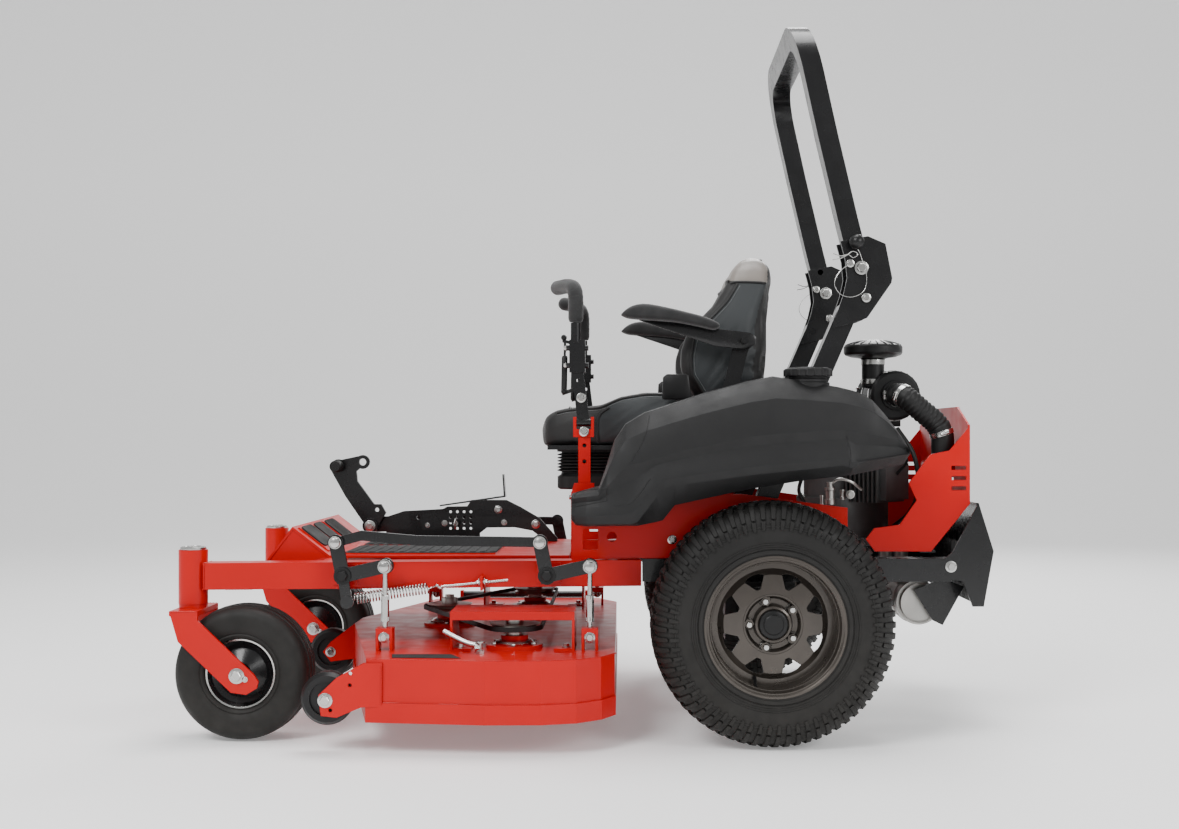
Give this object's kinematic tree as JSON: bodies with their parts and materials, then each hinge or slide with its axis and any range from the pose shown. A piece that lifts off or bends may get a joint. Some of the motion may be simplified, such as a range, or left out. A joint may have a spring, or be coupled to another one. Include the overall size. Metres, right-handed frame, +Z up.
{
  "type": "zero turn mower",
  "caption": "Ride-on zero turn mower with roll bar, twin steering levers, suspended seat, swivel casters and a mid-mounted cutting deck on a pedal lift.",
  "frame": {"origin": "centre of the bounding box, on the ground", "axes": "-X to the front of the machine, -Y to its left side, +Z up"},
  "size_m": [2.026, 1.524, 1.802],
  "materials": {
    "red_paint": "gloss",
    "black_paint": "gloss",
    "charcoal_plastic": "satin",
    "black_plastic": "satin",
    "yellow_plastic": "gloss",
    "engine_alloy": "satin",
    "hose_rubber": "matt",
    "zinc": "satin",
    "tyre_rubber": "matt",
    "rim_paint": "satin",
    "cast_case": "satin",
    "seat_vinyl": "satin",
    "grip_foam": "matt",
    "blade_steel": "satin"
  },
  "bodies": {
    "chassis": {"main_frame": "red_paint", "rear_frame": "black_paint", "engine_guard": "red_paint", "foot_platform": "red_paint", "tank_left": "charcoal_plastic", "tank_right": "charcoal_plastic", "console": "black_plastic", "engine": "engine_alloy", "air_cleaner": "black_plastic", "intake_hose": "hose_rubber", "muffler": "zinc", "seat_base": "black_paint", "transaxles": "cast_case", "rops_legs": "black_paint", "frame_bolts": "zinc", "height_plate": "black_paint"},
    "fork_left": {"caster_fork_left": "red_paint"},
    "caster_wheel_left": {"caster_tyre_left": "tyre_rubber", "caster_rim_left": "black_paint"},
    "drive_wheel_left": {"drive_tyre_left": "tyre_rubber", "drive_rim_left": "rim_paint"},
    "lever_foot_left": {"lever_base_left": "red_paint"},
    "lever_top_left": {"lever_left": "black_paint", "grip_left": "grip_foam"},
    "fork_right": {"caster_fork_right": "red_paint"},
    "caster_wheel_right": {"caster_tyre_right": "tyre_rubber", "caster_rim_right": "black_paint"},
    "drive_wheel_right": {"drive_tyre_right": "tyre_rubber", "drive_rim_right": "rim_paint"},
    "lever_foot_right": {"lever_base_right": "red_paint"},
    "lever_top_right": {"lever_right": "black_paint", "grip_right": "grip_foam"},
    "hoop": {"rops_hoop": "black_paint"},
    "fold_pin_left": {"lock_pin_left": "black_plastic"},
    "fold_pin_right": {"lock_pin_right": "black_plastic"},
    "seat": {"seat_pan": "black_paint", "seat_cushion": "seat_vinyl", "seat_back": "seat_vinyl"},
    "arm_left": {"armrest_left": "seat_vinyl"},
    "arm_right": {"armrest_right": "seat_vinyl"},
    "lift_front_left": {"crank_front_left": "black_paint"},
    "lift_front_right": {"crank_front_right": "black_paint"},
    "lift_rear_left": {"crank_rear_left": "black_paint"},
    "lift_rear_right": {"crank_rear_right": "black_paint"},
    "link_left": {"drag_link_left": "black_paint"},
    "link_right": {"drag_link_right": "black_paint"},
    "deck": {"deck_shell": "red_paint", "deck_hangers": "zinc"},
    "pedal": {"lift_pedal": "black_paint"},
    "stop_pin": {"height_pin": "zinc"},
    "spindle_left": {"blade_left": "blade_steel"},
    "spindle_centre": {"blade_centre": "blade_steel"},
    "spindle_right": {"blade_right": "blade_steel"},
    "guide_left": {"roller_left": "black_plastic"},
    "guide_centre": {"roller_centre": "black_plastic"},
    "guide_right": {"roller_right": "black_plastic"},
    "deflector": {"discharge_deflector": "black_plastic"},
    "filler_cap": {"fuel_cap": "black_plastic"},
    "blade_switch": {"pto_knob": "yellow_plastic"},
    "throttle": {"throttle_lever": "black_plastic"}
  },
  "joints": [
    {"name": "caster_swivel_left", "type": "hinge", "parent": "chassis", "child": "fork_left", "pos_m": [-0.978, -0.524, 0.4], "axis": [0, 0, 1], "continuous": true},
    {"name": "caster_spin_left", "type": "hinge", "parent": "fork_left", "child": "caster_wheel_left", "pos_m": [-0.848, -0.524, 0.165], "axis": [0, 1, 0], "continuous": true},
    {"name": "drive_spin_left", "type": "hinge", "parent": "chassis", "child": "drive_wheel_left", "pos_m": [0.434, -0.412, 0.292], "axis": [0, 1, 0], "continuous": true},
    {"name": "lever_drive_left", "type": "hinge", "parent": "chassis", "child": "lever_foot_left", "pos_m": [-0.02, -0.422, 0.6], "axis": [0, 1, 0], "range_deg": [-20, 12]},
    {"name": "lever_out_left", "type": "hinge", "parent": "lever_foot_left", "child": "lever_top_left", "pos_m": [-0.022, -0.432, 0.774], "axis": [1, 0, 0], "range_deg": [0, 25]},
    {"name": "caster_swivel_right", "type": "hinge", "parent": "chassis", "child": "fork_right", "pos_m": [-0.978, 0.34, 0.4], "axis": [0, 0, 1], "continuous": true},
    {"name": "caster_spin_right", "type": "hinge", "parent": "fork_right", "child": "caster_wheel_right", "pos_m": [-0.848, 0.34, 0.165], "axis": [0, 1, 0], "continuous": true},
    {"name": "drive_spin_right", "type": "hinge", "parent": "chassis", "child": "drive_wheel_right", "pos_m": [0.434, 0.228, 0.292], "axis": [0, 1, 0], "continuous": true},
    {"name": "lever_drive_right", "type": "hinge", "parent": "chassis", "child": "lever_foot_right", "pos_m": [-0.02, 0.238, 0.6], "axis": [0, 1, 0], "range_deg": [-20, 12]},
    {"name": "lever_out_right", "type": "hinge", "parent": "lever_foot_right", "child": "lever_top_right", "pos_m": [-0.022, 0.248, 0.774], "axis": [-1, 0, 0], "range_deg": [0, 25]},
    {"name": "roll_bar_fold", "type": "hinge", "parent": "chassis", "child": "hoop", "pos_m": [0.674, -0.092, 1.161], "axis": [0, 1, 0], "range_deg": [0, 110]},
    {"name": "fold_pin_slide_left", "type": "slide", "parent": "chassis", "child": "fold_pin_left", "axis": [0, -1, 0], "range_m": [0, 0.02]},
    {"name": "fold_pin_slide_right", "type": "slide", "parent": "chassis", "child": "fold_pin_right", "axis": [0, 1, 0], "range_m": [0, 0.02]},
    {"name": "seat_slide", "type": "slide", "parent": "chassis", "child": "seat", "axis": [1, 0, 0], "range_m": [-0.06, 0.06]},
    {"name": "armrest_left_lift", "type": "hinge", "parent": "seat", "child": "arm_left", "pos_m": [0.386, -0.377, 0.982], "axis": [0, 1, 0], "range_deg": [0, 95]},
    {"name": "armrest_right_lift", "type": "hinge", "parent": "seat", "child": "arm_right", "pos_m": [0.386, 0.193, 0.982], "axis": [0, 1, 0], "range_deg": [0, 95]},
    {"name": "deck_lift", "type": "hinge", "parent": "chassis", "child": "lift_front_left", "pos_m": [-0.604, -0.547, 0.4], "axis": [0, -1, 0], "range_deg": [-26, 17]},
    {"name": "lift_front_right_turn", "type": "hinge", "parent": "chassis", "child": "lift_front_right", "pos_m": [-0.604, 0.363, 0.4], "axis": [0, -1, 0], "range_deg": [-27, 18]},
    {"name": "lift_rear_left_turn", "type": "hinge", "parent": "chassis", "child": "lift_rear_left", "pos_m": [-0.108, -0.547, 0.4], "axis": [0, -1, 0], "range_deg": [-27, 18]},
    {"name": "lift_rear_right_turn", "type": "hinge", "parent": "chassis", "child": "lift_rear_right", "pos_m": [-0.108, 0.363, 0.4], "axis": [0, -1, 0], "range_deg": [-27, 18]},
    {"name": "link_left_turn", "type": "hinge", "parent": "lift_front_left", "child": "link_left", "pos_m": [-0.621, -0.548, 0.481], "axis": [0, -1, 0], "range_deg": [-18, 27]},
    {"name": "link_right_turn", "type": "hinge", "parent": "lift_front_right", "child": "link_right", "pos_m": [-0.621, 0.364, 0.481], "axis": [0, -1, 0], "range_deg": [-18, 27]},
    {"name": "deck_hang", "type": "hinge", "parent": "lift_front_left", "child": "deck", "pos_m": [-0.499, -0.5723, 0.424], "axis": [0, -1, 0], "range_deg": [-18, 27]},
    {"name": "pedal_turn", "type": "hinge", "parent": "chassis", "child": "pedal", "pos_m": [-0.648, 0.088, 0.483], "axis": [0, -1, 0], "range_deg": [-27, 18]},
    {"name": "height_pin_slide", "type": "slide", "parent": "chassis", "child": "stop_pin", "axis": [0, -1, 0], "range_m": [0, 0.06]},
    {"name": "blade_spin_left", "type": "hinge", "parent": "deck", "child": "spindle_left", "pos_m": [-0.19, -0.517, 0.235], "axis": [0, 0, 1], "continuous": true},
    {"name": "blade_spin_centre", "type": "hinge", "parent": "deck", "child": "spindle_centre", "pos_m": [-0.4, -0.092, 0.235], "axis": [0, 0, 1], "continuous": true},
    {"name": "blade_spin_right", "type": "hinge", "parent": "deck", "child": "spindle_right", "pos_m": [-0.19, 0.333, 0.235], "axis": [0, 0, 1], "continuous": true},
    {"name": "roller_spin_left", "type": "hinge", "parent": "deck", "child": "guide_left", "pos_m": [-0.612, -0.692, 0.128], "axis": [0, 1, 0], "continuous": true},
    {"name": "roller_spin_centre", "type": "hinge", "parent": "deck", "child": "guide_centre", "pos_m": [-0.74, 0.008, 0.137], "axis": [0, 1, 0], "continuous": true},
    {"name": "roller_spin_right", "type": "hinge", "parent": "deck", "child": "guide_right", "pos_m": [-0.612, 0.508, 0.128], "axis": [0, 1, 0], "continuous": true},
    {"name": "deflector_lift", "type": "hinge", "parent": "deck", "child": "deflector", "pos_m": [-0.24, 0.588, 0.232], "axis": [1, 0, 0], "range_deg": [0, 75]},
    {"name": "filler_cap_turn", "type": "hinge", "parent": "chassis", "child": "filler_cap", "pos_m": [0.525, -0.572, 0.89], "axis": [0, 0, 1], "continuous": true},
    {"name": "blade_switch_pull", "type": "slide", "parent": "chassis", "child": "blade_switch", "axis": [-0.3123, 0, 0.95], "range_m": [0, 0.014]},
    {"name": "throttle_turn", "type": "hinge", "parent": "chassis", "child": "throttle", "pos_m": [0.235, 0.312, 0.848], "axis": [0, 1, 0], "range_deg": [-35, 20]}
  ],
  "couplings": [
    {"joint": "lift_front_right_turn", "follows": "deck_lift", "ratio": 1},
    {"joint": "lift_rear_left_turn", "follows": "deck_lift", "ratio": 1},
    {"joint": "lift_rear_right_turn", "follows": "deck_lift", "ratio": 1},
    {"joint": "link_left_turn", "follows": "deck_lift", "ratio": -1},
    {"joint": "link_right_turn", "follows": "deck_lift", "ratio": -1},
    {"joint": "deck_hang", "follows": "deck_lift", "ratio": -1},
    {"joint": "pedal_turn", "follows": "deck_lift", "ratio": 1},
    {"joint": "blade_spin_left", "follows": "blade_spin_centre", "ratio": 1},
    {"joint": "blade_spin_right", "follows": "blade_spin_centre", "ratio": 1}
  ]
}
